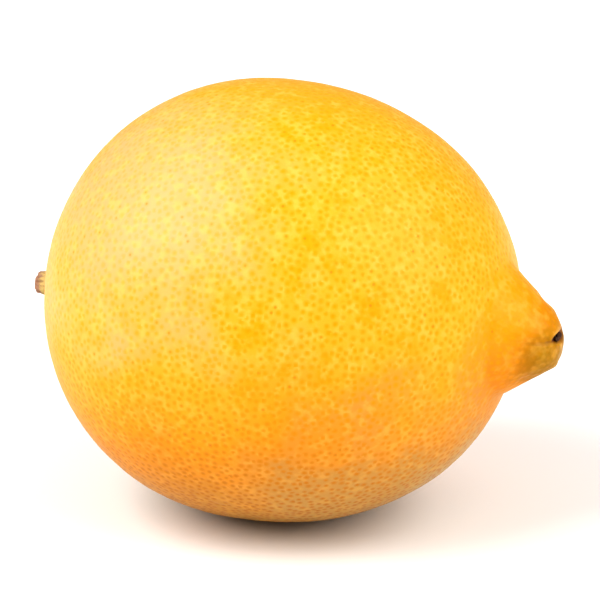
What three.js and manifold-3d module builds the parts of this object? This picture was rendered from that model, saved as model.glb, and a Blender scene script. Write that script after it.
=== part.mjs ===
// A whole lemon lying on its side, with the stub of its stem still on it. All sizes are in millimetres.
//
// The fruit's long axis runs along +X, from the cut stem to the nipple, and +Z is up. The origin is the middle of
// the small flat that the fruit rests on, straight below its widest section, so x = 0 is the widest section.
//
// Every piece is first made round a straight axis, where a surface is a profile of radius against height, and is
// then bent by the fruit's slight arch and lifted onto its resting flat.

import * as THREE from "three";
import { mergeVertices } from "three/addons/utils/BufferGeometryUtils.js";
import Module from "manifold-3d";

// The fruit's body: two rounded ends that meet at the widest section.
const BODY_RADIUS = 31;
const STEM_SIDE = 31.6; // from the widest section to the stem end
const NIPPLE_SIDE = 35.1; // from the widest section to where the body alone would close
const BODY_FULLNESS = 2.1; // 2 is an ellipse, and more is squarer at the shoulders

// The nipple: a blunt cone that grows out of the body, with a furrow where the two meet.
const NECK_X = 34;
const NECK_RADIUS = 9.1;
const NIPPLE_HALF_ANGLE = THREE.MathUtils.degToRad(37.9);
const NIPPLE_TIP = 42.1; // from the widest section
const TIP_BLUNTNESS = 18; // higher keeps the cone's sides straight for longer
const FURROW_BLEND = 1.4;

// The axis: both ends sit a little lower than the middle, and the nipple droops.
const ARCH_DROP = 0.3; // at ARCH_REACH from the widest section
const ARCH_REACH = 35;
const NIPPLE_DROOP = Math.tan(THREE.MathUtils.degToRad(6.4));

// The shallow dish under the stem, the slit beside the middle of the tip and the flat that the fruit rests on.
const DISH_DEPTH = 0.5;
const DISH_RADIUS = 3.4;
const SLIT = { aside: -0.2, rise: 1.1, depth: 1.0, halfLength: 1.8, halfHeight: 0.7 };
const REST_SINK = 0.45; // how much of the round underside the resting flat takes away

// The stem: a woody stub on a swollen root, inside the ring of dry sepals. It grows a little below the axis.
const STEM_DROP = 1.35;
const STUB_RADIUS = 1.55;
const STUB_HEIGHT = 4.95; // above the bottom of the dish
const ROOT_RADIUS = 2.35;
const ROOT_HEIGHT = 3.6; // where the root's flare ends and the straight stub begins
const SEPAL_COUNT = 5;
const CALYX_HOLE = 2.6;
const CALYX_RADIUS = 3.7; // half way between the lobes' tips and the bays
const CALYX_THICKNESS = 0.6;
const LOBE_REACH = 0.55; // how far a lobe's tip stands out from that
const GAP = 0.25; // between pieces that touch on the real fruit

// How finely the surfaces are cut into facets.
const FRUIT_SEGMENTS = 56;
const FRUIT_ROWS = 52;
const END_ROW_CROWDING = 0.6; // 0 spaces the rows evenly, and towards 1 they crowd at the two ends
const STEM_SEGMENTS = 30;

const wasm = await Module();
wasm.setup();

/** The larger of two lengths, with the corner between them filled over a width. */
function smoothMax(a, b, width) {
  const overlap = Math.max(width - Math.abs(a - b), 0) / width;
  return Math.max(a, b) + (overlap * overlap * width) / 4;
}

/** The body's radius at x, without the nipple. */
function bodyRadius(x) {
  const share = Math.abs(x) / (x < 0 ? STEM_SIDE : NIPPLE_SIDE);
  const left = Math.max(1 - share ** BODY_FULLNESS, 0);
  return BODY_RADIUS * left ** (1 / BODY_FULLNESS);
}

/** The nipple's radius at x: a cone that rounds over at its blunt tip. */
function nippleRadius(x) {
  const cone = NECK_RADIUS - (x - NECK_X) * Math.tan(NIPPLE_HALF_ANGLE);
  const share = THREE.MathUtils.clamp((x - NECK_X) / (NIPPLE_TIP - NECK_X), 0, 1);
  return cone * Math.sqrt(1 - share ** TIP_BLUNTNESS);
}

/** The fruit's radius at x. */
function fruitRadius(x) {
  return x < NECK_X / 2 ? bodyRadius(x) : smoothMax(bodyRadius(x), nippleRadius(x), FURROW_BLEND);
}

/** How deep the dish round the stem is, at a place across the stem end. */
function dishDepth(y, z) {
  return DISH_DEPTH * Math.exp(-(y ** 2 + (z + STEM_DROP) ** 2) / DISH_RADIUS ** 2);
}

/** The x of the fruit's surface, at a place across the stem end. */
function stemEndX(y, z) {
  const share = (Math.hypot(y, z) / BODY_RADIUS) ** BODY_FULLNESS;
  return dishDepth(y, z) - STEM_SIDE * (1 - share) ** (1 / BODY_FULLNESS);
}

/** The fruit's outline in one half plane, from the stem end to the tip: x is the radius and y runs along the axis. */
class Meridian extends THREE.Curve {
  getPoint(t, target = new THREE.Vector2()) {
    const middle = (NIPPLE_TIP - STEM_SIDE) / 2;
    const half = (NIPPLE_TIP + STEM_SIDE) / 2;
    const x = middle - half * Math.cos(Math.PI * t);
    if (t <= 0) return target.set(0, -STEM_SIDE);
    if (t >= 1) return target.set(0, NIPPLE_TIP);
    return target.set(fruitRadius(x), x);
  }
}

/** Points along the meridian, crowded at the ends, where the shape turns fastest. */
function meridianPoints() {
  const curve = new Meridian();
  curve.arcLengthDivisions = 2000;
  const points = [];
  for (let row = 0; row <= FRUIT_ROWS; row++) {
    const share = row / FRUIT_ROWS;
    const crowded = share - (END_ROW_CROWDING * Math.sin(2 * Math.PI * share)) / (2 * Math.PI);
    points.push(curve.getPointAt(crowded));
  }
  return points;
}

/** A surface of revolution about X from a profile of (radius, x) points. */
function turned(points, segments) {
  return new THREE.LatheGeometry(points, segments).rotateZ(-Math.PI / 2);
}

/** Moves every vertex with a function that changes it. */
function reshape(geometry, change) {
  const position = geometry.getAttribute("position");
  const point = new THREE.Vector3();
  for (let i = 0; i < position.count; i++) {
    change(point.fromBufferAttribute(position, i));
    position.setXYZ(i, point.x, point.y, point.z);
  }
  return geometry;
}

/** How far the axis has dropped at x, through the arch and the nipple's droop. */
function axisDrop(x) {
  return ARCH_DROP * (x / ARCH_REACH) ** 2 + Math.max(x - NECK_X, 0) * NIPPLE_DROOP;
}

/** Bends a piece made round the straight axis with the fruit's arch, and lifts it onto the resting flat. */
function settle(geometry) {
  return reshape(geometry, (point) => {
    point.z += BODY_RADIUS - REST_SINK - axisDrop(point.x);
  });
}

/** A closed geometry as a manifold-3d solid. */
function solidOf(geometry) {
  const bare = geometry.index ? geometry.toNonIndexed() : geometry.clone();
  bare.deleteAttribute("normal");
  bare.deleteAttribute("uv");
  const merged = mergeVertices(bare, 1e-3);
  const mesh = new wasm.Mesh({
    numProp: 3,
    vertProperties: merged.getAttribute("position").array,
    triVerts: new Uint32Array(merged.index.array),
  });
  return new wasm.Manifold(mesh);
}

/** A manifold-3d solid as a geometry. */
function geometryOf(solid) {
  const mesh = solid.getMesh();
  const geometry = new THREE.BufferGeometry();
  geometry.setAttribute("position", new THREE.BufferAttribute(mesh.vertProperties, 3));
  geometry.setIndex(new THREE.BufferAttribute(mesh.triVerts, 1));
  geometry.computeVertexNormals();
  return geometry;
}

/** An ellipsoid centred where the slit opens on the tip. */
function slitEllipsoid(depth, halfLength, halfHeight) {
  const geometry = new THREE.SphereGeometry(1, 20, 12).scale(depth, halfLength, halfHeight);
  return geometry.translate(NIPPLE_TIP, SLIT.aside, SLIT.rise);
}

/** The fruit: one solid, with the slit cut into its tip and the flat cut under it. */
function fruitGeometry() {
  const round = turned(meridianPoints(), FRUIT_SEGMENTS);
  const dished = reshape(round, (point) => {
    if (point.x < 0) point.x += dishDepth(point.y, point.z);
  });
  const body = settle(dished);
  const slit = settle(slitEllipsoid(SLIT.depth, SLIT.halfLength, SLIT.halfHeight));
  const below = new THREE.BoxGeometry(4 * BODY_RADIUS, 4 * BODY_RADIUS, 2 * BODY_RADIUS);
  below.translate(0, 0, -BODY_RADIUS);
  return geometryOf(solidOf(body).subtract(solidOf(slit)).subtract(solidOf(below)));
}

/** The dry remnant of the style: a scab half way down the slit, below the tip and clear of the slit's walls. */
function styleGeometry() {
  const clear = GAP * 0.8;
  const middle = SLIT.depth / 2;
  const narrowing = Math.sqrt(1 - (middle / SLIT.depth) ** 2);
  const halfLength = SLIT.halfLength * narrowing - clear;
  const halfHeight = SLIT.halfHeight * narrowing - clear;
  return settle(slitEllipsoid(middle - clear, halfLength, halfHeight).translate(-middle, 0, 0));
}

/** The stem stub: a swollen root on the dish, a straight woody neck and a flat cut end. */
function stemGeometry() {
  const foot = stemEndX(0, ROOT_RADIUS - STEM_DROP) - GAP;
  const bottom = stemEndX(0, -STEM_DROP);
  const cut = bottom - STUB_HEIGHT;
  const flareEnd = bottom - ROOT_HEIGHT;
  const flare = new THREE.CubicBezierCurve(
    new THREE.Vector2(STUB_RADIUS, flareEnd),
    new THREE.Vector2(STUB_RADIUS, (flareEnd + foot) / 2),
    new THREE.Vector2((STUB_RADIUS + ROOT_RADIUS) / 2, foot - ROOT_HEIGHT / 4),
    new THREE.Vector2(ROOT_RADIUS, foot),
  );
  const axisFoot = new THREE.Vector2(0, foot);
  const profile = [new THREE.Vector2(0, cut), new THREE.Vector2(STUB_RADIUS, cut), ...flare.getPoints(6), axisFoot];
  return settle(turned(profile, STEM_SEGMENTS).translate(0, 0, -STEM_DROP));
}

/** The calyx: a ring of dry sepals that lies on the fruit round the stem, with a lobe for each sepal. */
function calyxGeometry() {
  // Each pair is a radius and a height above the fruit's surface.
  const ring = [
    [CALYX_HOLE, GAP],
    [CALYX_HOLE, GAP + CALYX_THICKNESS],
    [(CALYX_HOLE + CALYX_RADIUS) / 2, GAP + CALYX_THICKNESS * 0.85],
    [CALYX_RADIUS * 0.95, GAP + CALYX_THICKNESS * 0.5],
    [CALYX_RADIUS, GAP],
    [CALYX_HOLE, GAP],
  ].map(([radius, height]) => new THREE.Vector2(radius, -height));
  const geometry = turned(ring, STEM_SEGMENTS);
  reshape(geometry, (point) => {
    const radius = Math.hypot(point.y, point.z);
    const outward = (radius - CALYX_HOLE) / (CALYX_RADIUS - CALYX_HOLE);
    const lobe = Math.cos(SEPAL_COUNT * Math.atan2(point.z, point.y));
    const spread = 1 + (LOBE_REACH * lobe * outward) / radius;
    const y = point.y * spread;
    const z = point.z * spread - STEM_DROP;
    point.set(stemEndX(y, z) + point.x, y, z);
  });
  return settle(geometry);
}

/** A named piece in its own finish. */
function piece(name, geometry, colour, roughness) {
  const material = new THREE.MeshStandardMaterial({ color: colour, roughness, metalness: 0 });
  const mesh = new THREE.Mesh(geometry, material);
  mesh.name = name;
  return mesh;
}

const lemon = new THREE.Group();
lemon.name = "lemon";
lemon.add(piece("fruit", fruitGeometry(), 0xfcc63c, 0.42));
lemon.add(piece("calyx", calyxGeometry(), 0x8f8046, 0.8));
lemon.add(piece("stem_stub", stemGeometry(), 0x9a7350, 0.85));
lemon.add(piece("style_remnant", styleGeometry(), 0x2e1a14, 0.8));

export default lemon;
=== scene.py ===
"""A ripe lemon that lies on its side on a pale studio floor.

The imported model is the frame: it says where the fruit, the calyx, the stem stub and the style's remnant
lie and how large they are. Each of them is replaced here by a finely shaped piece with a procedural finish.
Lengths are in metres, +X runs from the stem to the nipple and +Z is up. "Straight" places are those before
the fruit's axis is given its slight arch and lifted off the floor.
"""

import logging
import math
from dataclasses import dataclass
from enum import Enum
from typing import Any, Sequence, TypeAlias

import bpy
import numpy as np
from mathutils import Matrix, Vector
from mathutils.kdtree import KDTree


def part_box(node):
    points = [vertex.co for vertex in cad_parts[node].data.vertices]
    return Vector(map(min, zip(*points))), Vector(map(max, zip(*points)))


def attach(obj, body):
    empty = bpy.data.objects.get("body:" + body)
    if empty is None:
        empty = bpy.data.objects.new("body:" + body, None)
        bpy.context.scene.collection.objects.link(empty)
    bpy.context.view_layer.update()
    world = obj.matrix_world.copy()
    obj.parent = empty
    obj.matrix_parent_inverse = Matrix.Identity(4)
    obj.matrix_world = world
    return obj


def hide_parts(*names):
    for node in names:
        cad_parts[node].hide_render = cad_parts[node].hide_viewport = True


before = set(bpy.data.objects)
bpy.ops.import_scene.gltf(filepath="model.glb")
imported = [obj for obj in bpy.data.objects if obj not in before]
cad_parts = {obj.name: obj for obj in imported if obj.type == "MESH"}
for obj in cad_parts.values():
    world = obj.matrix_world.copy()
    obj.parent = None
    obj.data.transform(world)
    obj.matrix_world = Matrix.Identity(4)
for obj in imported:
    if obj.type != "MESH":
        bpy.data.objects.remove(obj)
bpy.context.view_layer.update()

LOG = logging.getLogger("lemon")
MM = 0.001

Colour: TypeAlias = tuple[float, float, float]
Number: TypeAlias = "float | Value"
Socket: TypeAlias = bpy.types.NodeSocket


class Slot(Enum):
    """Material slot names."""

    PEEL = "peel"
    SEPAL = "dry_sepal"
    WOOD = "stem_wood"
    SCAB = "style_scab"


# ----------------------------------------------------------------------------------------------------
# Materials: sockets with arithmetic, and the graph that makes every node
# ----------------------------------------------------------------------------------------------------


class Value:
    """A number that changes over a surface, on which arithmetic adds Math nodes."""

    def __init__(self, graph: "Graph", socket: Socket) -> None:
        """Wraps an output socket of a graph's node."""
        self.graph = graph
        self.socket = socket

    def __add__(self, other: Number) -> "Value":
        """The sum of two values."""
        return self.graph.math("ADD", self, other)

    def __radd__(self, other: float) -> "Value":
        """The sum of a number and this value."""
        return self.graph.math("ADD", other, self)

    def __sub__(self, other: Number) -> "Value":
        """This value less another."""
        return self.graph.math("SUBTRACT", self, other)

    def __rsub__(self, other: float) -> "Value":
        """A number less this value."""
        return self.graph.math("SUBTRACT", other, self)

    def __mul__(self, other: Number) -> "Value":
        """The product of two values."""
        return self.graph.math("MULTIPLY", self, other)

    def __truediv__(self, other: Number) -> "Value":
        """This value divided by another."""
        return self.graph.math("DIVIDE", self, other)

    def __pow__(self, other: float) -> "Value":
        """This value to a power."""
        return self.graph.math("POWER", self, other)


class Graph:
    """A material's shader nodes, which all come from one method."""

    def __init__(self, name: str) -> None:
        """Starts an empty material.

        Args:
            name: the material's name.
        """
        self.material = bpy.data.materials.new(name)
        self.material.use_nodes = True
        self.tree = self.material.node_tree
        self.tree.nodes.clear()

    def node(self, kind: str, inputs: dict[str | int, Any] | None = None, **settings: Any) -> bpy.types.Node:
        """Adds a node.

        Args:
            kind: the node's type, such as ShaderNodeMath.
            inputs: what each input socket is given, by its name or number: a number, a colour, a vector,
                a Value or an output socket.
            settings: the node's own settings, which are set first.

        Returns:
            The new node.
        """
        made = self.tree.nodes.new(kind)
        for name, setting in settings.items():
            setattr(made, name, setting)
        for key, given in (inputs or {}).items():
            socket = given.socket if isinstance(given, Value) else given
            if isinstance(socket, Socket):
                self.tree.links.new(socket, made.inputs[key])
            else:
                made.inputs[key].default_value = socket
        return made

    def math(self, operation: str, first: Number, second: Number) -> Value:
        """A Math node on two values."""
        made = self.node("ShaderNodeMath", {0: first, 1: second}, operation=operation)
        return Value(self, made.outputs[0])

    def smooth(self, value: Number, low: Number, high: Number) -> Value:
        """0 where a value is at low, 1 where it is at high, and a smooth step between them."""
        inputs = {"Value": value, "From Min": low, "From Max": high}
        made = self.node("ShaderNodeMapRange", inputs, interpolation_type="SMOOTHSTEP")
        return Value(self, made.outputs["Result"])

    def blend(self, share: Number, first: Colour | Socket, second: Colour | Socket) -> Socket:
        """Mixes two colours.

        Args:
            share: how much of the second colour is used.
            first: a linear RGB colour or a colour socket.
            second: a linear RGB colour or a colour socket.

        Returns:
            The mixed colour's socket.
        """
        colours = [(*c, 1.0) if isinstance(c, tuple) else c for c in (first, second)]
        inputs = {"Factor": share, 6: colours[0], 7: colours[1]}
        made = self.node("ShaderNodeMix", inputs, data_type="RGBA")
        return made.outputs[2]

    def place(self) -> Socket:
        """The surface point in the shared frame, in metres."""
        return self.node("ShaderNodeTexCoord").outputs["Object"]

    def stretched(self, vector: Socket, scale: Sequence[float]) -> Socket:
        """A vector with each of its numbers multiplied, so that a pattern read from it runs in streaks."""
        return self.node("ShaderNodeMapping", {"Vector": vector, "Scale": scale}).outputs["Vector"]

    def axes(self, vector: Socket) -> tuple[Value, Value, Value]:
        """A vector's three numbers."""
        made = self.node("ShaderNodeSeparateXYZ", {0: vector})
        return tuple(Value(self, socket) for socket in made.outputs)

    def attribute(self, name: str) -> Socket:
        """A vector that the mesh holds under a name."""
        return self.node("ShaderNodeAttribute", attribute_name=name).outputs["Vector"]

    def noise(
        self, vector: Socket, size: float, detail: float = 2.0, rough: float = 0.5, warp: float = 0.0
    ) -> Value:
        """Soft noise round 0.5.

        Args:
            vector: where it is read.
            size: about how large a blotch is, in metres.
            detail: how many finer layers are added.
            rough: how strong those layers are.
            warp: how far the pattern is pulled about.

        Returns:
            The noise's value.
        """
        inputs = {
            "Vector": vector,
            "Scale": 1 / size,
            "Detail": detail,
            "Roughness": rough,
            "Distortion": warp,
        }
        return Value(self, self.node("ShaderNodeTexNoise", inputs).outputs["Fac"])

    def bump(self, height: Value) -> Socket:
        """A normal bent by a relief whose height is in metres."""
        inputs = {"Height": height, "Strength": 1.0, "Distance": 1.0}
        return self.node("ShaderNodeBump", inputs).outputs["Normal"]

    def finish(self, **inputs: Any) -> bpy.types.Material:
        """Closes the graph with a Principled shader.

        Args:
            inputs: what each of its sockets is given, with _ for a space in the socket's name.

        Returns:
            The finished material.
        """
        named = {name.replace("_", " "): given for name, given in inputs.items()}
        shader = self.node("ShaderNodeBsdfPrincipled", named, subsurface_method="RANDOM_WALK")
        self.node("ShaderNodeOutputMaterial", {"Surface": shader.outputs["BSDF"]})
        return self.material


# ----------------------------------------------------------------------------------------------------
# Mesh tools
# ----------------------------------------------------------------------------------------------------


def start_alone() -> None:
    """Leaves edit mode and deselects everything, so that the next operator acts on nothing by accident."""
    if bpy.context.object is not None and bpy.context.object.mode != "OBJECT":
        bpy.ops.object.mode_set(mode="OBJECT")
    bpy.ops.object.select_all(action="DESELECT")


def select_only(piece: bpy.types.Object) -> None:
    """Selects one piece and nothing else, and makes it the active one."""
    start_alone()
    piece.select_set(True)
    bpy.context.view_layer.objects.active = piece


def points_of(piece: bpy.types.Object) -> np.ndarray:
    """A mesh's vertices as an array of N rows."""
    flat = np.empty(len(piece.data.vertices) * 3)
    piece.data.vertices.foreach_get("co", flat)
    return flat.reshape(-1, 3)


def put_points(piece: bpy.types.Object, points: np.ndarray) -> None:
    """Moves a mesh's vertices to new places."""
    piece.data.vertices.foreach_set("co", points.ravel())
    piece.data.update()


def apply_modifier(piece: bpy.types.Object, kind: str, **settings: Any) -> None:
    """Adds a modifier and applies it.

    Args:
        piece: the mesh object.
        kind: the modifier's type, such as SUBSURF.
        settings: the modifier's own settings.
    """
    select_only(piece)
    modifier = piece.modifiers.new(kind.title(), kind)
    for name, setting in settings.items():
        setattr(modifier, name, setting)
    bpy.ops.object.modifier_apply(modifier=modifier.name)


def clouds(name: str, size: float, depth: int = 1) -> bpy.types.Texture:
    """A cloudy texture for Displace modifiers.

    Args:
        name: the texture's name.
        size: about how large a lump is.
        depth: how many finer layers are added.

    Returns:
        The texture.
    """
    texture = bpy.data.textures.new(name, "CLOUDS")
    texture.noise_scale = size
    texture.noise_depth = depth
    return texture


def give_weights(piece: bpy.types.Object, name: str, weights: np.ndarray) -> str:
    """Adds a vertex group with a weight for every vertex, and returns its name."""
    group = piece.vertex_groups.new(name=name)
    for index, weight in enumerate(weights):
        if weight > 0.001:
            group.add([index], float(weight), "REPLACE")
    return group.name


def smooth_shaded(piece: bpy.types.Object) -> bpy.types.Object:
    """Shades a piece smoothly, and returns it."""
    select_only(piece)
    bpy.ops.object.shade_smooth()
    return piece


def placed(piece: bpy.types.Object) -> bpy.types.Object:
    """Moves a piece's place, turn and size into its mesh, and returns it."""
    select_only(piece)
    bpy.ops.object.transform_apply(location=True, rotation=True, scale=True)
    return piece


def bump_at(points: np.ndarray, centre: Sequence[float], spread: float) -> np.ndarray:
    """How strongly each point feels a round bump: 1 at its centre, fading over its spread."""
    return np.exp(-((points - np.asarray(centre)) ** 2).sum(axis=1) / (2 * spread**2))


# ----------------------------------------------------------------------------------------------------
# The fruit
# ----------------------------------------------------------------------------------------------------


@dataclass(frozen=True)
class FruitForm:
    """The fruit's plain shape, turned about a straight axis and then given its slight arch.

    Every share is of the radius of the widest section.
    """

    radius: float
    tip: float
    axis_height: float
    stem_height: float
    slit_place: tuple[float, float]
    stem_side_share: float = 1.0194
    nipple_side_share: float = 1.1323
    fullness: float = 2.1
    neck_place_share: float = 1.0968
    neck_radius_share: float = 0.2935
    nipple_half_angle: float = math.radians(37.9)
    tip_bluntness: float = 18.0
    furrow_share: float = 0.0452
    arch_drop_share: float = 0.0097
    arch_reach_share: float = 1.129
    droop: float = math.radians(6.4)
    dish_depth_share: float = 0.0161
    dish_radius_share: float = 0.1097

    @classmethod
    def from_frame(cls, rest_sink: float = 0.45 * MM) -> "FruitForm":
        """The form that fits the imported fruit.

        Args:
            rest_sink: how much of the round underside the resting flat takes away.

        Returns:
            The form, with its radius and reach taken from the frame.
        """
        low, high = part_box("fruit")
        radius = (high.y - low.y) / 2
        stem = sum(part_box("stem_stub"), Vector()) / 2
        scab = sum(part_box("style_remnant"), Vector()) / 2
        return cls(
            radius=radius,
            tip=high.x,
            axis_height=radius - rest_sink,
            stem_height=stem.z,
            slit_place=(scab.y, scab.z),
        )

    @property
    def neck_place(self) -> float:
        """Where the nipple begins, along the axis."""
        return self.neck_place_share * self.radius

    def body_radius(self, x: np.ndarray) -> np.ndarray:
        """The body's radius along the axis, without the nipple."""
        side = np.where(x < 0, self.stem_side_share, self.nipple_side_share) * self.radius
        left = np.clip(1 - (np.abs(x) / side) ** self.fullness, 0, None)
        return self.radius * left ** (1 / self.fullness)

    def nipple_radius(self, x: np.ndarray) -> np.ndarray:
        """The nipple's radius along the axis: a cone that rounds over at its blunt tip."""
        past_neck = x - self.neck_place
        cone = self.neck_radius_share * self.radius - past_neck * math.tan(self.nipple_half_angle)
        share = np.clip(past_neck / (self.tip - self.neck_place), 0, 1)
        return cone * np.sqrt(1 - share**self.tip_bluntness)

    def meridian(self, count: int = 20001) -> tuple[np.ndarray, np.ndarray, np.ndarray]:
        """The outline in one half plane, from the stem end to the tip.

        Args:
            count: how many points it has.

        Returns:
            The share of the outline's length, the place along the axis and the radius at each point.
        """
        stem_side = self.stem_side_share * self.radius
        middle, half = (self.tip - stem_side) / 2, (self.tip + stem_side) / 2
        x = middle - half * np.cos(np.linspace(0, math.pi, count))
        body, nipple = self.body_radius(x), self.nipple_radius(x)
        blend = self.furrow_share * self.radius
        overlap = np.clip(blend - np.abs(body - nipple), 0, None) / blend
        joined = np.maximum(body, nipple) + overlap**2 * blend / 4
        radius = np.where(x < self.neck_place / 2, body, joined)
        radius[0] = radius[-1] = 0
        steps = np.hypot(np.diff(x), np.diff(radius))
        length = np.concatenate([[0], np.cumsum(steps)])
        return length / length[-1], x, radius

    def axis_drop(self, x: np.ndarray) -> np.ndarray:
        """How far the axis has dropped, through the arch and the nipple's droop."""
        arch = self.arch_drop_share * self.radius * (x / (self.arch_reach_share * self.radius)) ** 2
        return arch + np.clip(x - self.neck_place, 0, None) * math.tan(self.droop)

    def settled(self, points: np.ndarray) -> np.ndarray:
        """Straight places bent with the arch and lifted to where the fruit rests."""
        lifted = points.copy()
        lifted[:, 2] += self.axis_height - self.axis_drop(points[:, 0])
        return lifted

    def dish(self, y: np.ndarray, height: np.ndarray) -> np.ndarray:
        """How deep the dish round the stem is, at places across the stem end."""
        away = y**2 + (height - self.stem_height) ** 2
        spread = self.dish_radius_share * self.radius
        return self.dish_depth_share * self.radius * np.exp(-away / spread**2)

    def stem_end(self, y: np.ndarray, height: np.ndarray) -> np.ndarray:
        """Where the skin lies along the axis, at places across the stem end."""
        stem_side = self.stem_side_share * self.radius
        drop = float(self.axis_drop(np.array([-stem_side]))[0])
        share = (np.hypot(y, height - self.axis_height + drop) / self.radius) ** self.fullness
        return self.dish(y, height) - stem_side * (1 - share) ** (1 / self.fullness)

    def straight_at(self, along: float, around: float) -> np.ndarray:
        """A straight place on the surface.

        Args:
            along: its place along the axis.
            around: its angle about the axis, from +Y towards +Z.

        Returns:
            The point.
        """
        _, x, radius = self.meridian()
        reach = float(radius[np.searchsorted(x, along)])
        return np.array([along, reach * math.cos(around), reach * math.sin(around)])


@dataclass(frozen=True)
class Knob:
    """A low bump on the nipple, or a hollow where its height is below nothing.

    It leans towards the tip by a share of its height.
    """

    along: float
    around: float
    height: float
    spread: float
    lean: float = 0.5


@dataclass
class Fruit:
    """The fruit's skin: one closed surface with its glands, nipple, tip slit and stem dish."""

    form: FruitForm
    cuts: int = 127
    gland_count: int = 11000
    gland_gap: float = 0.83 * MM
    gland_tries: int = 7
    gland_seed: int = 11
    pit_depth: float = 0.035 * MM
    pit_radius: float = 0.5 * MM
    lump_height: float = 0.25 * MM
    lump_size: float = 12 * MM
    ripple_height: float = 0.06 * MM
    ripple_size: float = 2.6 * MM
    slit_depth: float = 0.95 * MM
    slit_half_length: float = 2.1 * MM
    slit_half_height: float = 0.62 * MM
    rest_blend: float = 0.12 * MM
    ridge_height: float = 0.22 * MM
    groove_depth: float = 0.2 * MM
    knobs: tuple[Knob, ...] = (
        Knob(37.5 * MM, math.radians(54), 0.12 * MM, 0.8 * MM),
        Knob(38.8 * MM, math.radians(54), -0.12 * MM, 0.5 * MM),
        Knob(40.1 * MM, math.radians(54), 0.30 * MM, 0.9 * MM),
        Knob(41.4 * MM, math.radians(-96), 0.22 * MM, 0.6 * MM),
        Knob(40.6 * MM, math.radians(128), 0.28 * MM, 0.6 * MM),
        Knob(40.9 * MM, math.radians(158), -0.32 * MM, 0.45 * MM),
        Knob(40.1 * MM, math.radians(163), -0.30 * MM, 0.45 * MM),
        Knob(39.2 * MM, math.radians(168), -0.24 * MM, 0.5 * MM),
        Knob(38.2 * MM, math.radians(172), -0.16 * MM, 0.6 * MM),
        Knob(40.4 * MM, math.radians(195), 0.28 * MM, 0.7 * MM),
        Knob(38.2 * MM, math.radians(235), -0.20 * MM, 0.9 * MM),
    )

    def build(self) -> bpy.types.Object:
        """Makes the skin.

        Returns:
            The finished mesh object, with its gland attributes.
        """
        skin = self.ball()
        directions = points_of(skin)
        points = self.form.settled(self.shaped(directions))
        points[:, 0] += np.where(points[:, 0] < 0, self.form.dish(points[:, 1], points[:, 2]), 0)
        points[:, 0] -= self.slit(points)
        put_points(skin, points)
        self.roughen(skin)
        glands = self.scatter_glands(skin)
        self.sink_pits(skin, glands)
        self.rest(skin)
        self.mark_glands(skin, glands)
        return smooth_shaded(skin)

    def ball(self) -> bpy.types.Object:
        """A unit ball of even square faces, made from a finely cut cube."""
        start_alone()
        bpy.ops.mesh.primitive_cube_add(size=2)
        ball = bpy.context.object
        ball.name = "lemon_skin"
        bpy.ops.object.mode_set(mode="EDIT")
        bpy.ops.mesh.select_all(action="SELECT")
        bpy.ops.mesh.subdivide(number_cuts=self.cuts)
        bpy.ops.object.mode_set(mode="OBJECT")
        even = np.tan(points_of(ball) * math.pi / 4)
        put_points(ball, even / np.linalg.norm(even, axis=1, keepdims=True))
        return ball

    def shaped(self, directions: np.ndarray) -> np.ndarray:
        """The skin's straight places.

        Args:
            directions: each vertex's direction on the unit ball.

        Returns:
            Where each vertex goes, with the nipple's knobs and ridges and the grooves round the stem.
        """
        form = self.form
        share = self.crowded(np.arccos(np.clip(-directions[:, 0], -1, 1)) / math.pi)
        around = np.arctan2(directions[:, 2], directions[:, 1])
        length, x_line, radius_line = form.meridian()
        x = np.interp(share, length, x_line)
        radius = np.interp(share, length, radius_line)
        radius = radius + self.nipple_ridges(x, radius, around) + self.stem_grooves(x, radius, around)
        points = np.column_stack([x, radius * np.cos(around), radius * np.sin(around)])
        for knob in self.knobs:
            centre = form.straight_at(knob.along, knob.around)
            outward = np.array([knob.lean, math.cos(knob.around), math.sin(knob.around)])
            points += np.outer(bump_at(points, centre, knob.spread), knob.height * outward)
        return points

    def crowded(self, share: np.ndarray) -> np.ndarray:
        """Shares of the outline's length, moved so that the faces are smaller at the tip and at the stem."""
        even = np.linspace(0, 1, 2001)
        density = np.ones_like(even)
        for end, strength, reach in ((1, 1.6, 0.08), (0, 0.5, 0.06)):
            density += strength * np.exp(-(((end - even) / reach) ** 2))
        reached = np.concatenate([[0], np.cumsum((density[1:] + density[:-1]) / 2)])
        return np.interp(share, reached / reached[-1], even)

    def nipple_ridges(self, x: np.ndarray, radius: np.ndarray, around: np.ndarray) -> np.ndarray:
        """How far the nipple's long ridges stand out of its cone."""
        past = np.clip((x - self.form.neck_place) / (self.form.tip - self.form.neck_place), 0, 1)
        fade = past * np.clip(radius / (0.1 * self.form.radius), 0, 1)
        waves = ((3, 0.50, 0.6), (5, 0.35, -1.1), (8, 0.25, 2.3))
        wave = sum(strength * np.cos(count * around + turn) for count, strength, turn in waves)
        return self.ridge_height * fade * wave

    def stem_grooves(self, x: np.ndarray, radius: np.ndarray, around: np.ndarray) -> np.ndarray:
        """How far the peel rises and falls in the soft grooves that run out from the stem."""
        near = np.where(x < 0, np.exp(-((radius / (0.3 * self.form.radius)) ** 2)), 0)
        inner = np.clip(radius / (0.12 * self.form.radius), 0, 1)
        return self.groove_depth * near * inner * np.cos(7 * around + 0.4)

    def slit(self, points: np.ndarray) -> np.ndarray:
        """How deep the style's slit is cut into the tip, along the axis."""
        y = points[:, 1] - self.form.slit_place[0]
        z = points[:, 2] - self.form.slit_place[1]
        oval = (y / self.slit_half_length) ** 2 + (z / self.slit_half_height) ** 2
        at_tip = points[:, 0] > self.form.tip - 3 * MM
        return np.where(at_tip, self.slit_depth * np.exp(-(oval**1.5)), 0)

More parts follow.
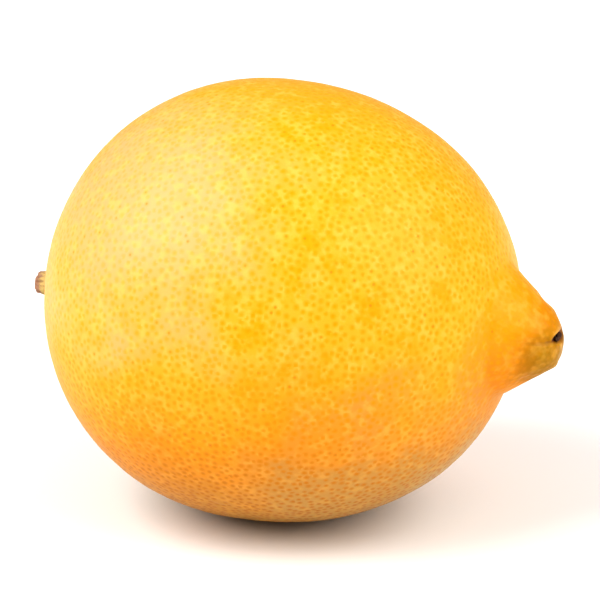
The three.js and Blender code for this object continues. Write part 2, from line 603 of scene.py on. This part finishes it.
    def roughen(self, skin: bpy.types.Object) -> None:
        """Gives the peel its broad lumps and its finer ripples."""
        lumps = clouds("peel_lumps", self.lump_size)
        ripples = clouds("peel_ripples", self.ripple_size, depth=2)
        for texture, height in ((lumps, self.lump_height), (ripples, self.ripple_height)):
            apply_modifier(skin, "DISPLACE", texture=texture, strength=height, mid_level=0.5)

    def scatter_glands(self, skin: bpy.types.Object) -> np.ndarray:
        """Scatters the oil glands over the skin at random, no two closer than the gland gap.

        Args:
            skin: the shaped skin.

        Returns:
            The glands' centres.
        """
        random = np.random.default_rng(self.gland_seed)
        mesh = skin.data
        areas = np.empty(len(mesh.polygons))
        mesh.polygons.foreach_get("area", areas)
        corners = np.empty(len(mesh.loops), dtype=np.int32)
        mesh.loops.foreach_get("vertex_index", corners)
        picked = random.choice(len(areas), size=self.gland_tries * self.gland_count, p=areas / areas.sum())
        quads = points_of(skin)[corners.reshape(-1, 4)[picked]]
        u, v = random.random((2, len(picked), 1))
        near_side = quads[:, 0] * (1 - u) + quads[:, 1] * u
        far_side = quads[:, 3] * (1 - u) + quads[:, 2] * u
        tries = near_side * (1 - v) + far_side * v
        cells: dict[tuple[int, int, int], list[np.ndarray]] = {}
        kept: list[np.ndarray] = []
        around = [(i, j, k) for i in (-1, 0, 1) for j in (-1, 0, 1) for k in (-1, 0, 1)]
        for point, cell in zip(tries, np.floor(tries / self.gland_gap).astype(int)):
            beside = (cells.get((cell[0] + i, cell[1] + j, cell[2] + k), ()) for i, j, k in around)
            near = [other for others in beside for other in others]
            if near and ((np.array(near) - point) ** 2).sum(axis=1).min() < self.gland_gap**2:
                continue
            cells.setdefault(tuple(cell), []).append(point)
            kept.append(point)
            if len(kept) == self.gland_count:
                break
        return np.array(kept)

    @staticmethod
    def gland_finder(glands: np.ndarray) -> KDTree:
        """A finder of the gland nearest to a point."""
        finder = KDTree(len(glands))
        for index, gland in enumerate(glands):
            finder.insert(gland, index)
        finder.balance()
        return finder

    def sink_pits(self, skin: bpy.types.Object, glands: np.ndarray) -> None:
        """Presses a shallow pit into the skin at every gland."""
        finder = self.gland_finder(glands)
        reach = np.array([finder.find(vertex.co)[2] for vertex in skin.data.vertices])
        weights = np.exp(-((reach / self.pit_radius) ** 2) * 2)
        group = give_weights(skin, "pits", weights)
        apply_modifier(skin, "DISPLACE", vertex_group=group, strength=-self.pit_depth, mid_level=0.0)

    def rest(self, skin: bpy.types.Object) -> None:
        """Presses the underside flat where the fruit rests, with a rounded edge to the flat."""
        points = points_of(skin)
        overlap = np.clip(self.rest_blend - np.abs(points[:, 2]), 0, None) / self.rest_blend
        points[:, 2] = np.maximum(points[:, 2], 0) + overlap**2 * self.rest_blend / 4
        put_points(skin, points)

    def mark_glands(self, skin: bpy.types.Object, glands: np.ndarray) -> None:
        """Writes how each face's corners lie from its nearest gland, and what that gland looks like.

        Args:
            skin: the finished skin.
            glands: the glands' centres.
        """
        random = np.random.default_rng(self.gland_seed + 1)
        looks = random.random((len(glands), 3))
        finder = self.gland_finder(glands)
        nearest = np.array([finder.find(face.center)[1] for face in skin.data.polygons])
        per_corner = np.repeat(nearest, 4)
        corners = np.empty(len(skin.data.loops), dtype=np.int32)
        skin.data.loops.foreach_get("vertex_index", corners)
        offsets = points_of(skin)[corners] - glands[per_corner]
        for name, values in (("gland_offset", offsets / MM), ("gland_look", looks[per_corner])):
            attribute = skin.data.attributes.new(name, "FLOAT_VECTOR", "CORNER")
            attribute.data.foreach_set("vector", values.astype(np.float32).ravel())


@dataclass(frozen=True)
class Patch:
    """A ragged patch of another colour on the peel; most are painted shade, sheen and floor reflections. Its
    place and sizes are shares of the radius.
    """

    centre: tuple[float, float, float]
    inner: float
    outer: float
    colour: Colour
    strength: float

    def mask(self, graph: Graph, place: Socket, form: FruitForm, ragged: Value) -> Value:
        """How strongly the patch shows.

        Args:
            graph: the material's graph.
            place: the surface point.
            form: the fruit's form.
            ragged: noise round nothing, which frays the edge.

        Returns:
            0 outside the patch, 1 in its middle.
        """
        x, y, z = (part * form.radius for part in self.centre)
        inputs = {0: place, 1: (x, y, z + form.axis_height)}
        apart = graph.node("ShaderNodeVectorMath", inputs, operation="DISTANCE")
        reach = Value(graph, apart.outputs["Value"]) + ragged * (self.outer * form.radius)
        return 1 - graph.smooth(reach, self.inner * form.radius, self.outer * form.radius)


@dataclass(frozen=True)
class PeelFinish:
    """Waxy yellow peel with oil glands, pale and orange flushes, an ochre nipple, and painted shade, sheen
    and floor reflections.
    """

    form: FruitForm
    yellow: Colour = (0.90, 0.415, 0.030)
    deep: Colour = (0.89, 0.355, 0.0)
    # Painted shade: the dull orange of the lower half.
    orange: Colour = (0.85, 0.30, 0.002)
    # Painted shade under the fruit, in a dull tan that also stands for a painted reflection of the floor.
    under: Colour = (0.38, 0.225, 0.040)
    pale: Colour = (0.94, 0.54, 0.12)
    gland: Colour = (0.86, 0.335, 0.0)
    # A darker gland colour for painted shade towards the bottom.
    shaded_gland: Colour = (0.36, 0.115, 0.0)
    speck: Colour = (0.55, 0.20, 0.02)
    # Ochre and olive: the nipple's own colour, laid on more strongly underneath as painted shade.
    ochre: Colour = (0.44, 0.185, 0.0)
    olive: Colour = (0.34, 0.18, 0.0)
    tip_orange: Colour = (0.90, 0.325, 0.0)
    # Brown stain round the slit, also laid as painted shade in the crease beside it.
    stain: Colour = (0.30, 0.13, 0.012)
    scar: Colour = (0.17, 0.062, 0.022)
    roughness: float = 0.38
    fine_relief: float = 0.012 * MM
    dot_hollow: float = 0.02 * MM
    # A painted sheen: a pale patch high on the front left, where the key lamp's highlight falls.
    painted_sheen: Patch = Patch((-0.42, -0.65, 0.63), 0.2, 1.0, (0.93, 0.42, 0.19), 0.85)
    patches: tuple[Patch, ...] = (
        # Painted shade in the hollow at the nipple's root, low on the front.
        Patch((1.13, -0.24, -0.12), 0.02, 0.34, (0.64, 0.205, 0.006), 0.7),
        Patch((0.80, -0.60, -0.20), 0.05, 0.45, (0.90, 0.33, 0.02), 0.5),
        Patch((-0.25, -0.62, -0.75), 0.1, 0.55, (0.62, 0.22, 0.0), 0.4),
        # Painted light bounced from the floor, in tan, low on the front towards the nipple.
        Patch((0.62, -0.38, -0.66), 0.2, 0.85, (0.47, 0.28, 0.08), 0.8),
        # Painted reflection of the floor along the lower rim towards the nipple.
        Patch((0.80, 0.05, -0.62), 0.1, 0.5, (0.55, 0.40, 0.20), 0.7),
        # Painted shade along the rim at the stem end.
        Patch((-1.0, -0.15, -0.05), 0.2, 0.6, (0.86, 0.32, 0.0), 0.6),
        # Painted shade along the top rim.
        Patch((0.1, 0.1, 1.0), 0.1, 0.65, (0.86, 0.34, 0.0), 0.6),
    )

    def material(self) -> bpy.types.Material:
        """Builds the peel's material."""
        graph = Graph("peel")
        place = graph.place()
        x, y, z = graph.axes(place)
        ragged = graph.noise(place, 8 * MM, detail=3) - 0.5
        mottle = graph.noise(place, 4 * MM, detail=3, rough=0.6)
        grain = graph.noise(place, 1.5 * MM, detail=2)
        painted_sheen = self.painted_sheen.mask(graph, place, self.form, ragged)
        end = self.nipple_end(graph, x, mottle)

        colour = self.ground(graph, place, y, z, mottle)
        # The painted sheen: a pale patch laid over the ground colour.
        colour = graph.blend(painted_sheen * self.painted_sheen.strength, colour, self.painted_sheen.colour)
        for patch in self.patches:
            mask = patch.mask(graph, place, self.form, ragged)
            colour = graph.blend(mask * patch.strength, colour, patch.colour)
        colour = self.nipple_colour(graph, colour, x, z, end, mottle)
        colour = graph.blend(self.paleness(graph, x, z, grain), colour, self.pale)

        dot, tone, speck = self.gland_marks(graph)
        # The dots darken towards the bottom as painted shade, with the ground.
        low = 1 - graph.smooth(z, 0.0, 1.15 * self.form.radius)
        # The gland dots fade under the painted sheen and towards the nipple's end.
        spot = dot * tone * (1 - end * 0.85) * (1 - painted_sheen * 0.6)
        colour = graph.blend(spot, colour, graph.blend(low, self.gland, self.shaded_gland))
        colour = graph.blend(speck * 0.5, colour, self.speck)
        stained, dried = self.scar_masks(graph, x, y, z)
        # The stain mask holds the slit's stain and the painted shade in the crease.
        colour = graph.blend(stained * 0.85, colour, self.stain)
        colour = graph.blend(dried, colour, self.scar)

        fine = (graph.noise(place, 0.5 * MM, detail=2) - 0.5) * self.fine_relief
        return graph.finish(
            Base_Color=colour,
            Roughness=self.roughness + (grain - 0.5) * 0.12,
            Normal=graph.bump(fine - dot * self.dot_hollow),
            Subsurface_Weight=0.10,
            Subsurface_Radius=(1.0, 0.45, 0.12),
            Subsurface_Scale=0.7 * MM,
            IOR=1.27,
        )

    def paleness(self, graph: Graph, x: Value, z: Value, grain: Value) -> Value:
        """How strongly the pale marbling shows: more on top of the fruit as painted light, less towards the
        nipple.
        """
        # The marbling is stronger on top as painted light from above.
        lit = graph.smooth(z, 0.3 * self.form.radius, 1.3 * self.form.radius)
        near = graph.smooth(x, self.form.neck_place - 6 * MM, self.form.neck_place + 2 * MM)
        return graph.smooth(grain, 0.44, 0.7) * (0.16 + lit * 0.26) * (1 - near * 0.3)

    def gland_marks(self, graph: Graph) -> tuple[Value, Value, Value]:
        """What the nearest gland does to the peel. Distances from a gland are in millimetres.

        Args:
            graph: the material's graph.

        Returns:
            The gland's dot, how dark the dot is, and the dark speck that a few glands have in their middle.
        """
        length = graph.node("ShaderNodeVectorMath", {0: graph.attribute("gland_offset")}, operation="LENGTH")
        distance = Value(graph, length.outputs["Value"])
        size_draw, tone_draw, speck_draw = graph.axes(graph.attribute("gland_look"))
        dot = 1 - graph.smooth(distance, 0.04, size_draw * 0.22 + 0.48)
        speck = (1 - graph.smooth(distance, 0.08, 0.24)) * graph.smooth(speck_draw, 0.91, 1.0)
        return dot, tone_draw * 0.25 + 0.75, speck

    def ground(self, graph: Graph, place: Socket, y: Value, z: Value, mottle: Value) -> Socket:
        """The peel's colour between the glands, from yellow on top to a dull orange underneath, which is
        painted shade with a painted floor reflection in its tan.

        Args:
            graph: the material's graph.
            place: the surface point.
            y: its place across the fruit. The painted shade is weaker on the back, which stays yellow further
                down.
            z: its height.
            mottle: noise that deepens the yellow in blotches.

        Returns:
            The colour's socket.
        """
        radius = self.form.radius
        height = z + (graph.noise(place, 16 * MM, detail=3) - 0.5) * (0.55 * radius)
        colour = graph.blend(graph.smooth(mottle, 0.5, 0.68) * 0.8, self.yellow, self.deep)
        less = 1 - graph.smooth(y, 0.0, 0.7 * radius) * 0.6
        # Painted shade: orange, then a dull tan with a painted floor reflection, lower down and weaker on the
        # back.
        for low, high, lower in ((0.5, 1.2, self.orange), (0.05, 0.75, self.under)):
            share = (1 - graph.smooth(height, low * radius, high * radius)) * less
            colour = graph.blend(share, colour, lower)
        return colour

    def nipple_end(self, graph: Graph, x: Value, mottle: Value) -> Value:
        """How far a point lies on the nipple's end, past a ragged edge."""
        edge = self.form.neck_place + 3.6 * MM
        frayed = x + (mottle - 0.5) * (5 * MM)
        return graph.smooth(frayed, edge - 2.4 * MM, edge + 1.2 * MM)

    def nipple_colour(
        self, graph: Graph, colour: Socket, x: Value, z: Value, end: Value, mottle: Value
    ) -> Socket:
        """Turns the colour orange on top of the nipple, and ochre and olive under its end: the tip's own
        colours, laid on more strongly underneath as painted shade.

        Args:
            graph: the material's graph.
            colour: the colour so far.
            x: the point's place along the fruit's axis.
            z: its height.
            end: how far it lies on the nipple's end.
            mottle: noise that breaks the colours up.

        Returns:
            The colour's socket.
        """
        middle = self.form.axis_height - 1.5 * MM
        near = graph.smooth(x, self.form.neck_place - 2 * MM, self.form.neck_place + 4 * MM)
        broken = (mottle - 0.5) * (6 * MM)
        top = graph.smooth(z + broken, middle - 0.5 * MM, middle + 4.5 * MM)
        colour = graph.blend(near * (top * 0.7 + 0.3), colour, self.tip_orange)
        # Ochre and olive are stronger low on the nipple as painted shade.
        colour = graph.blend(end * (0.9 - top * 0.75), colour, self.ochre)
        last = graph.smooth(x + broken * 0.4, self.form.tip - 4.4 * MM, self.form.tip - 1.5 * MM)
        return graph.blend(last * (0.75 - top * 0.3), colour, self.olive)

    def scar_masks(self, graph: Graph, x: Value, y: Value, z: Value) -> tuple[Value, Value]:
        """Where the peel is stained round the style's slit, with painted shade in the crease beside it, and
        where it has dried brown in it.

        Args:
            graph: the material's graph.
            x: the point's place along the fruit's axis.
            y: its place across the fruit.
            z: its height.

        Returns:
            The stain, with the painted shade of the crease that runs back from the slit on the near side, and
            the dried slit.
        """
        across, up = self.form.slit_place
        tip = self.form.tip
        y, z = y - across, z - up
        wedge = y * 0.15 + 0.60 * MM
        oval = (y / (2.3 * MM)) ** 2 + (z / wedge) ** 2
        at_tip = graph.smooth(x, tip - 2.4 * MM, tip - 1.7 * MM)
        dried = (1 - graph.smooth(oval, 0.6, 1.25)) * at_tip
        halo = (1 - graph.smooth(oval, 1.0, 3.2)) * at_tip
        # A dark line in the crease on the near side: painted shade.
        line = 1 - graph.smooth((z + (x - tip) * 0.12 + 0.25 * MM) ** 2, 0.0, (0.34 * MM) ** 2)
        near_side = 1 - graph.smooth(y, -2.5 * MM, -0.5 * MM)
        crease = line * graph.smooth(x, tip - 4.6 * MM, tip - 2.0 * MM) * near_side
        return graph.math("MAXIMUM", halo, crease * 0.4), dried


# ----------------------------------------------------------------------------------------------------
# The stem end: the calyx and the stub
# ----------------------------------------------------------------------------------------------------


@dataclass
class Calyx:
    """The ring of five dry sepals that lies on the skin round the stem."""

    form: FruitForm
    sepals: int = 5
    hole: float = 2.6 * MM
    reach: float = 3.55 * MM
    lobe: float = 0.62 * MM
    thickness: float = 0.5 * MM
    lift: float = 0.12 * MM
    curl: float = 0.22 * MM
    wrinkle: float = 0.07 * MM
    crinkle_relief: float = 0.12 * MM

    def build(self) -> bpy.types.Object:
        """Makes the calyx from a ring that is drawn out into lobes.

        Returns:
            The finished mesh object.
        """
        start_alone()
        bpy.ops.mesh.primitive_torus_add(
            major_segments=120,
            minor_segments=20,
            major_radius=2,
            minor_radius=1,
            rotation=(0, math.pi / 2, 0),
        )
        ring = placed(bpy.context.object)
        ring.name = "lemon_calyx"
        points = points_of(ring)
        around = np.arctan2(points[:, 2], points[:, 1])
        outward = (np.hypot(points[:, 1], points[:, 2]) - 1) / 2
        above = -points[:, 0]
        wave = np.cos(self.sepals * around + 0.5)
        uneven = 1 + 0.18 * np.sin(2 * around + 0.8) + 0.12 * np.sin(3 * around - 1.0)
        lobed = self.lobe * np.sign(wave) * np.abs(wave) ** 1.5 * uneven
        radius = self.hole + outward * (self.reach - self.hole + lobed)
        y = radius * np.cos(around)
        height = self.form.stem_height + radius * np.sin(around)
        thin = self.thickness * (1 - 0.6 * outward)
        folds = self.wrinkle * outward * np.cos(17 * around + 2.2 * np.sin(3 * around))
        curled = self.curl * np.clip(outward - 0.4, 0, None) * np.clip(wave, 0, None) * uneven
        proud = self.lift + thin / 2 * (1 + above) + folds * (above > -0.5) + curled
        put_points(ring, np.column_stack([self.form.stem_end(y, height) - proud, y, height]))
        crinkle = clouds("sepal_crinkle", 0.7 * MM, 2)
        apply_modifier(ring, "DISPLACE", texture=crinkle, strength=self.crinkle_relief, mid_level=0.5)
        apply_modifier(ring, "SUBSURF", levels=1, render_levels=1)
        return smooth_shaded(ring)


@dataclass
class Stub:
    """The short woody stub that the stem left, on its swollen root, with a broken end.

    Its rings are shares of its reach from the skin and of its root's radius.
    """

    form: FruitForm
    sides: int = 40
    rings: tuple[tuple[float, float], ...] = (
        (0.0, 0.90),
        (0.02, 1.0),
        (0.06, 0.99),
        (0.14, 0.97),
        (0.24, 0.95),
        (0.34, 0.92),
        (0.44, 0.89),
        (0.54, 0.86),
        (0.64, 0.82),
        (0.74, 0.77),
        (0.82, 0.73),
        (0.90, 0.70),
        (0.955, 0.69),
        (0.985, 0.675),
        (1.0, 0.63),
    )
    bark_relief: float = 0.16 * MM
    pith_radius: float = 0.55 * MM
    pith_depth: float = 0.16 * MM

    def build(self) -> bpy.types.Object:
        """Makes the stub from a disc that is drawn out and resized ring by ring.

        Returns:
            The finished mesh object.
        """
        low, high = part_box("stem_stub")
        reach, root = high.x - low.x, (high.y - low.y) / 2
        rings = self.rings
        start_alone()
        centre = Vector((high.x, 0, self.form.stem_height))
        bpy.ops.mesh.primitive_circle_add(
            vertices=self.sides,
            radius=root * rings[0][1],
            fill_type="NGON",
            location=centre,
            rotation=(0, -math.pi / 2, 0),
        )
        stub = placed(bpy.context.object)
        stub.name = "lemon_stem_stub"
        bpy.ops.object.mode_set(mode="EDIT")
        bpy.ops.mesh.select_all(action="SELECT")
        for (before, was), (after, now) in zip(rings, rings[1:]):
            outward = {"value": ((before - after) * reach, 0, 0)}
            bpy.ops.mesh.extrude_region_move(TRANSFORM_OT_translate=outward)
            middle = Vector((high.x - after * reach, 0, self.form.stem_height))
            bpy.ops.transform.resize(value=(1, now / was, now / was), center_override=middle)
        inset = root * rings[-1][1] - self.pith_radius
        bpy.ops.mesh.inset(thickness=inset * 0.5)
        bpy.ops.mesh.inset(thickness=inset * 0.5)
        bpy.ops.mesh.inset(thickness=self.pith_radius * 0.25)
        bpy.ops.transform.translate(value=(self.pith_depth, 0, 0))
        bpy.ops.mesh.select_all(action="SELECT")
        bpy.ops.mesh.normals_make_consistent(inside=False)
        bpy.ops.object.mode_set(mode="OBJECT")
        apply_modifier(stub, "SUBSURF", levels=2, render_levels=2)
        self.furrow(stub)
        bark = clouds("stub_bark", 0.6 * MM, 2)
        apply_modifier(stub, "DISPLACE", texture=bark, strength=self.bark_relief, mid_level=0.5)
        return smooth_shaded(stub)

    def furrow(self, stub: bpy.types.Object) -> None:
        """Runs shallow furrows along the bark and tilts the broken end."""
        low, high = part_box("stem_stub")
        points = points_of(stub)
        y, z = points[:, 1], points[:, 2] - self.form.stem_height
        around = np.arctan2(z, y)
        share = (high.x - points[:, 0]) / (high.x - low.x)
        depth = 0.035 * np.cos(7 * around + 0.9) + 0.02 * np.cos(12 * around - 0.5 + 3 * share)
        swell = 1 + depth * np.clip(4 * share, 0, 1) + 0.04 * np.cos(2 * around + 1.2) * share
        tilt = 0.1 * MM * (z / MM - 0.4 * y / MM) * np.clip(share * 5 - 4, 0, 1)
        put_points(stub, np.column_stack([points[:, 0] + tilt, y * swell, z * swell + self.form.stem_height]))


@dataclass(frozen=True)
class StubFinish:
    """Weathered bark, tan towards the fruit and brown at the broken end, with olive painted shade on its
    lower side.
    """

    form: FruitForm
    tan: Colour = (0.58, 0.42, 0.16)
    olive: Colour = (0.38, 0.32, 0.09)
    brown: Colour = (0.38, 0.22, 0.14)
    dark: Colour = (0.19, 0.10, 0.055)
    pith: Colour = (0.62, 0.47, 0.28)

    def material(self) -> bpy.types.Material:
        """Builds the stub's material."""
        low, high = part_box("stem_stub")
        graph = Graph("stem_wood")
        place = graph.place()
        x, y, z = graph.axes(place)
        blotch = graph.noise(place, 0.9 * MM, detail=3, rough=0.6)
        streak = graph.noise(graph.stretched(place, (0.25, 1.0, 1.0)), 0.45 * MM, detail=3, rough=0.6)
        end = 1 - graph.smooth(x + (blotch - 0.5) * (2.2 * MM), low.x + 0.5 * MM, low.x + 1.3 * MM)
        middle = self.form.stem_height
        # Painted shade: olive on the stub's lower side.
        shade = 1 - graph.smooth(z + (blotch - 0.5) * (2 * MM), middle - 1.6 * MM, middle + 0.4 * MM)
        root = graph.smooth(x, high.x - 1.6 * MM, high.x - 0.5 * MM)
        colour = graph.blend(shade * 0.6, self.tan, self.olive)
        colour = graph.blend(root * 0.6, colour, self.olive)
        colour = graph.blend(end, colour, self.brown)
        colour = graph.blend(graph.smooth(streak, 0.52, 0.7) * 0.6, colour, self.dark)
        across = (y**2 + (z - middle) ** 2) ** 0.5
        face = 1 - graph.smooth(x, low.x + 0.15 * MM, low.x + 0.4 * MM)
        pith = (1 - graph.smooth(across, 0.45 * MM, 0.75 * MM)) * face
        colour = graph.blend(pith * 0.8, colour, self.pith)
        relief = (streak - 0.5) * (0.12 * MM) + (blotch - 0.5) * (0.08 * MM)
        return graph.finish(Base_Color=colour, Roughness=0.82, Normal=graph.bump(relief))


@dataclass(frozen=True)
class DryFinish:
    """Dried plant skin: a base colour that is darker in its creases and paler on its fibres."""

    name: str
    base: Colour
    crease: Colour
    fibre: Colour
    grain: float

    def material(self) -> bpy.types.Material:
        """Builds the material."""
        graph = Graph(self.name)
        place = graph.place()
        blotch = graph.noise(place, 2.2 * self.grain, detail=3, rough=0.6)
        fibres = graph.noise(place, self.grain, detail=4, rough=0.65, warp=0.6)
        colour = graph.blend(graph.smooth(blotch, 0.42, 0.66), self.base, self.crease)
        colour = graph.blend(graph.smooth(fibres, 0.55, 0.75) * 0.7, colour, self.fibre)
        relief = (fibres - 0.5) * (0.1 * MM)
        return graph.finish(Base_Color=colour, Roughness=0.85, Normal=graph.bump(relief))


@dataclass
class StyleScab:
    """The dry crumb that the style left in the slit at the tip."""

    bend: float = 0.12 * MM
    notch: float = 0.06 * MM

    def build(self) -> bpy.types.Object:
        """Makes the crumb from a ball, bent and notched along its length and crumpled.

        Returns:
            The finished mesh object.
        """
        low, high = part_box("style_remnant")
        middle, half = (low + high) / 2, (high - low) / 2
        start_alone()
        bpy.ops.mesh.primitive_ico_sphere_add(subdivisions=5, radius=1, location=middle)
        crumb = bpy.context.object
        crumb.scale = half
        crumb = placed(crumb)
        crumb.name = "lemon_style_scab"
        points = points_of(crumb)
        along = (points[:, 1] - middle.y) / half.y
        points[:, 2] += self.bend * np.sin(4.2 * along + 0.6)
        points[:, 0] += self.notch * np.sin(9.0 * along)
        put_points(crumb, points)
        crumple = clouds("scab_crumple", 0.35 * MM, 2)
        apply_modifier(crumb, "DISPLACE", texture=crumple, strength=0.14 * MM, mid_level=0.6)
        return smooth_shaded(crumb)


# ----------------------------------------------------------------------------------------------------
# The studio
# ----------------------------------------------------------------------------------------------------


@dataclass(frozen=True)
class Lamp:
    """A soft square lamp that faces the fruit."""

    name: str
    azimuth: float
    elevation: float
    distance: float
    size: float
    power: float

    def build(self, target: Vector) -> None:
        """Hangs the lamp and turns it to the target."""
        data = bpy.data.lights.new(self.name, "AREA")
        data.shape = "SQUARE"
        data.size = self.size
        data.energy = self.power
        lamp = bpy.data.objects.new(self.name, data)
        bpy.context.scene.collection.objects.link(lamp)
        away = direction(self.azimuth, self.elevation)
        lamp.location = target + away * self.distance
        lamp.rotation_euler = away.to_track_quat("Z", "Y").to_euler()


def direction(azimuth: float, elevation: float) -> Vector:
    """The unit vector towards an azimuth and an elevation in degrees. 0 is the front, 90 the nipple's end."""
    a, e = math.radians(azimuth), math.radians(elevation)
    return Vector((math.sin(a) * math.cos(e), -math.cos(a) * math.cos(e), math.sin(e)))


@dataclass
class Studio:
    """The pale floor, the lamps, the surrounding light and the camera."""

    form: FruitForm
    camera_azimuth: float = 20.0
    camera_elevation: float = 19.5
    camera_distance: float = 0.40
    lens: float = 170.9
    sensor: float = 36.0
    aside: float = 3.97 * MM
    upward: float = -0.04 * MM
    sky: float = 0.34
    floor_size: float = 6.0
    lamps: tuple[Lamp, ...] = (
        Lamp("key_lamp", -51, 42, 0.8, 0.65, 5.5),
        Lamp("right_lamp", 85, 40, 0.8, 0.7, 4.3),
    )

    def build(self) -> None:
        """Sets up everything that isn't the lemon."""
        self.build_floor()
        self.build_camera()
        for lamp in self.lamps:
            lamp.build(Vector((0, 0, self.form.axis_height)))
        world = bpy.data.worlds.new("studio_air")
        world.use_nodes = True
        background = world.node_tree.nodes["Background"]
        background.inputs["Color"].default_value = (1.0, 1.0, 1.0, 1.0)
        background.inputs["Strength"].default_value = self.sky
        scene = bpy.context.scene
        scene.world = world
        scene.view_settings.view_transform = "Standard"
        scene.view_settings.look = "High Contrast"

    def build_floor(self) -> None:
        """Lays the pale floor under the fruit."""
        start_alone()
        bpy.ops.mesh.primitive_plane_add(size=self.floor_size)
        floor = bpy.context.object
        floor.name = "studio_floor"
        graph = Graph("studio_floor")
        floor.data.materials.append(graph.finish(Base_Color=(0.94, 0.94, 0.94, 1.0), Roughness=0.9))

    def build_camera(self) -> None:
        """Places the camera at its viewing angle."""
        data = bpy.data.cameras.new("camera")
        data.lens = self.lens
        data.sensor_width = self.sensor
        camera = bpy.data.objects.new("camera", data)
        bpy.context.scene.collection.objects.link(camera)
        away = direction(self.camera_azimuth, self.camera_elevation)
        turn = away.to_track_quat("Z", "Y")
        right, up = turn @ Vector((1, 0, 0)), turn @ Vector((0, 1, 0))
        middle = Vector((0, 0, self.form.axis_height)) + right * self.aside + up * self.upward
        camera.location = middle + away * self.camera_distance
        camera.rotation_euler = turn.to_euler()
        bpy.context.scene.camera = camera


def hand_over(piece: bpy.types.Object, finish: bpy.types.Material, node: str) -> None:
    """Dresses a piece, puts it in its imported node's stead and reports it.

    Args:
        piece: the finished mesh object.
        finish: its material.
        node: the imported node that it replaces.
    """
    piece.data.materials.append(finish)
    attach(piece, "root")
    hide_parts(node)
    LOG.info("%s: %d faces", piece.name, len(piece.data.polygons))


def main() -> None:
    """Builds the lemon and its studio."""
    logging.basicConfig(level=logging.INFO, format="%(name)s: %(message)s")
    form = FruitForm.from_frame()
    sepal = DryFinish(
        "dry_sepal",
        base=(0.26, 0.18, 0.07),
        crease=(0.11, 0.07, 0.03),
        fibre=(0.42, 0.32, 0.15),
        grain=0.5 * MM,
    )
    scab = DryFinish(
        "style_scab",
        base=(0.075, 0.032, 0.015),
        crease=(0.05, 0.02, 0.009),
        fibre=(0.15, 0.065, 0.03),
        grain=0.3 * MM,
    )
    hand_over(Fruit(form).build(), PeelFinish(form).material(), "fruit")
    hand_over(Calyx(form).build(), sepal.material(), "calyx")
    hand_over(Stub(form).build(), StubFinish(form).material(), "stem_stub")
    hand_over(StyleScab().build(), scab.material(), "style_remnant")
    Studio(form).build()


if __name__ == "__main__":
    main()
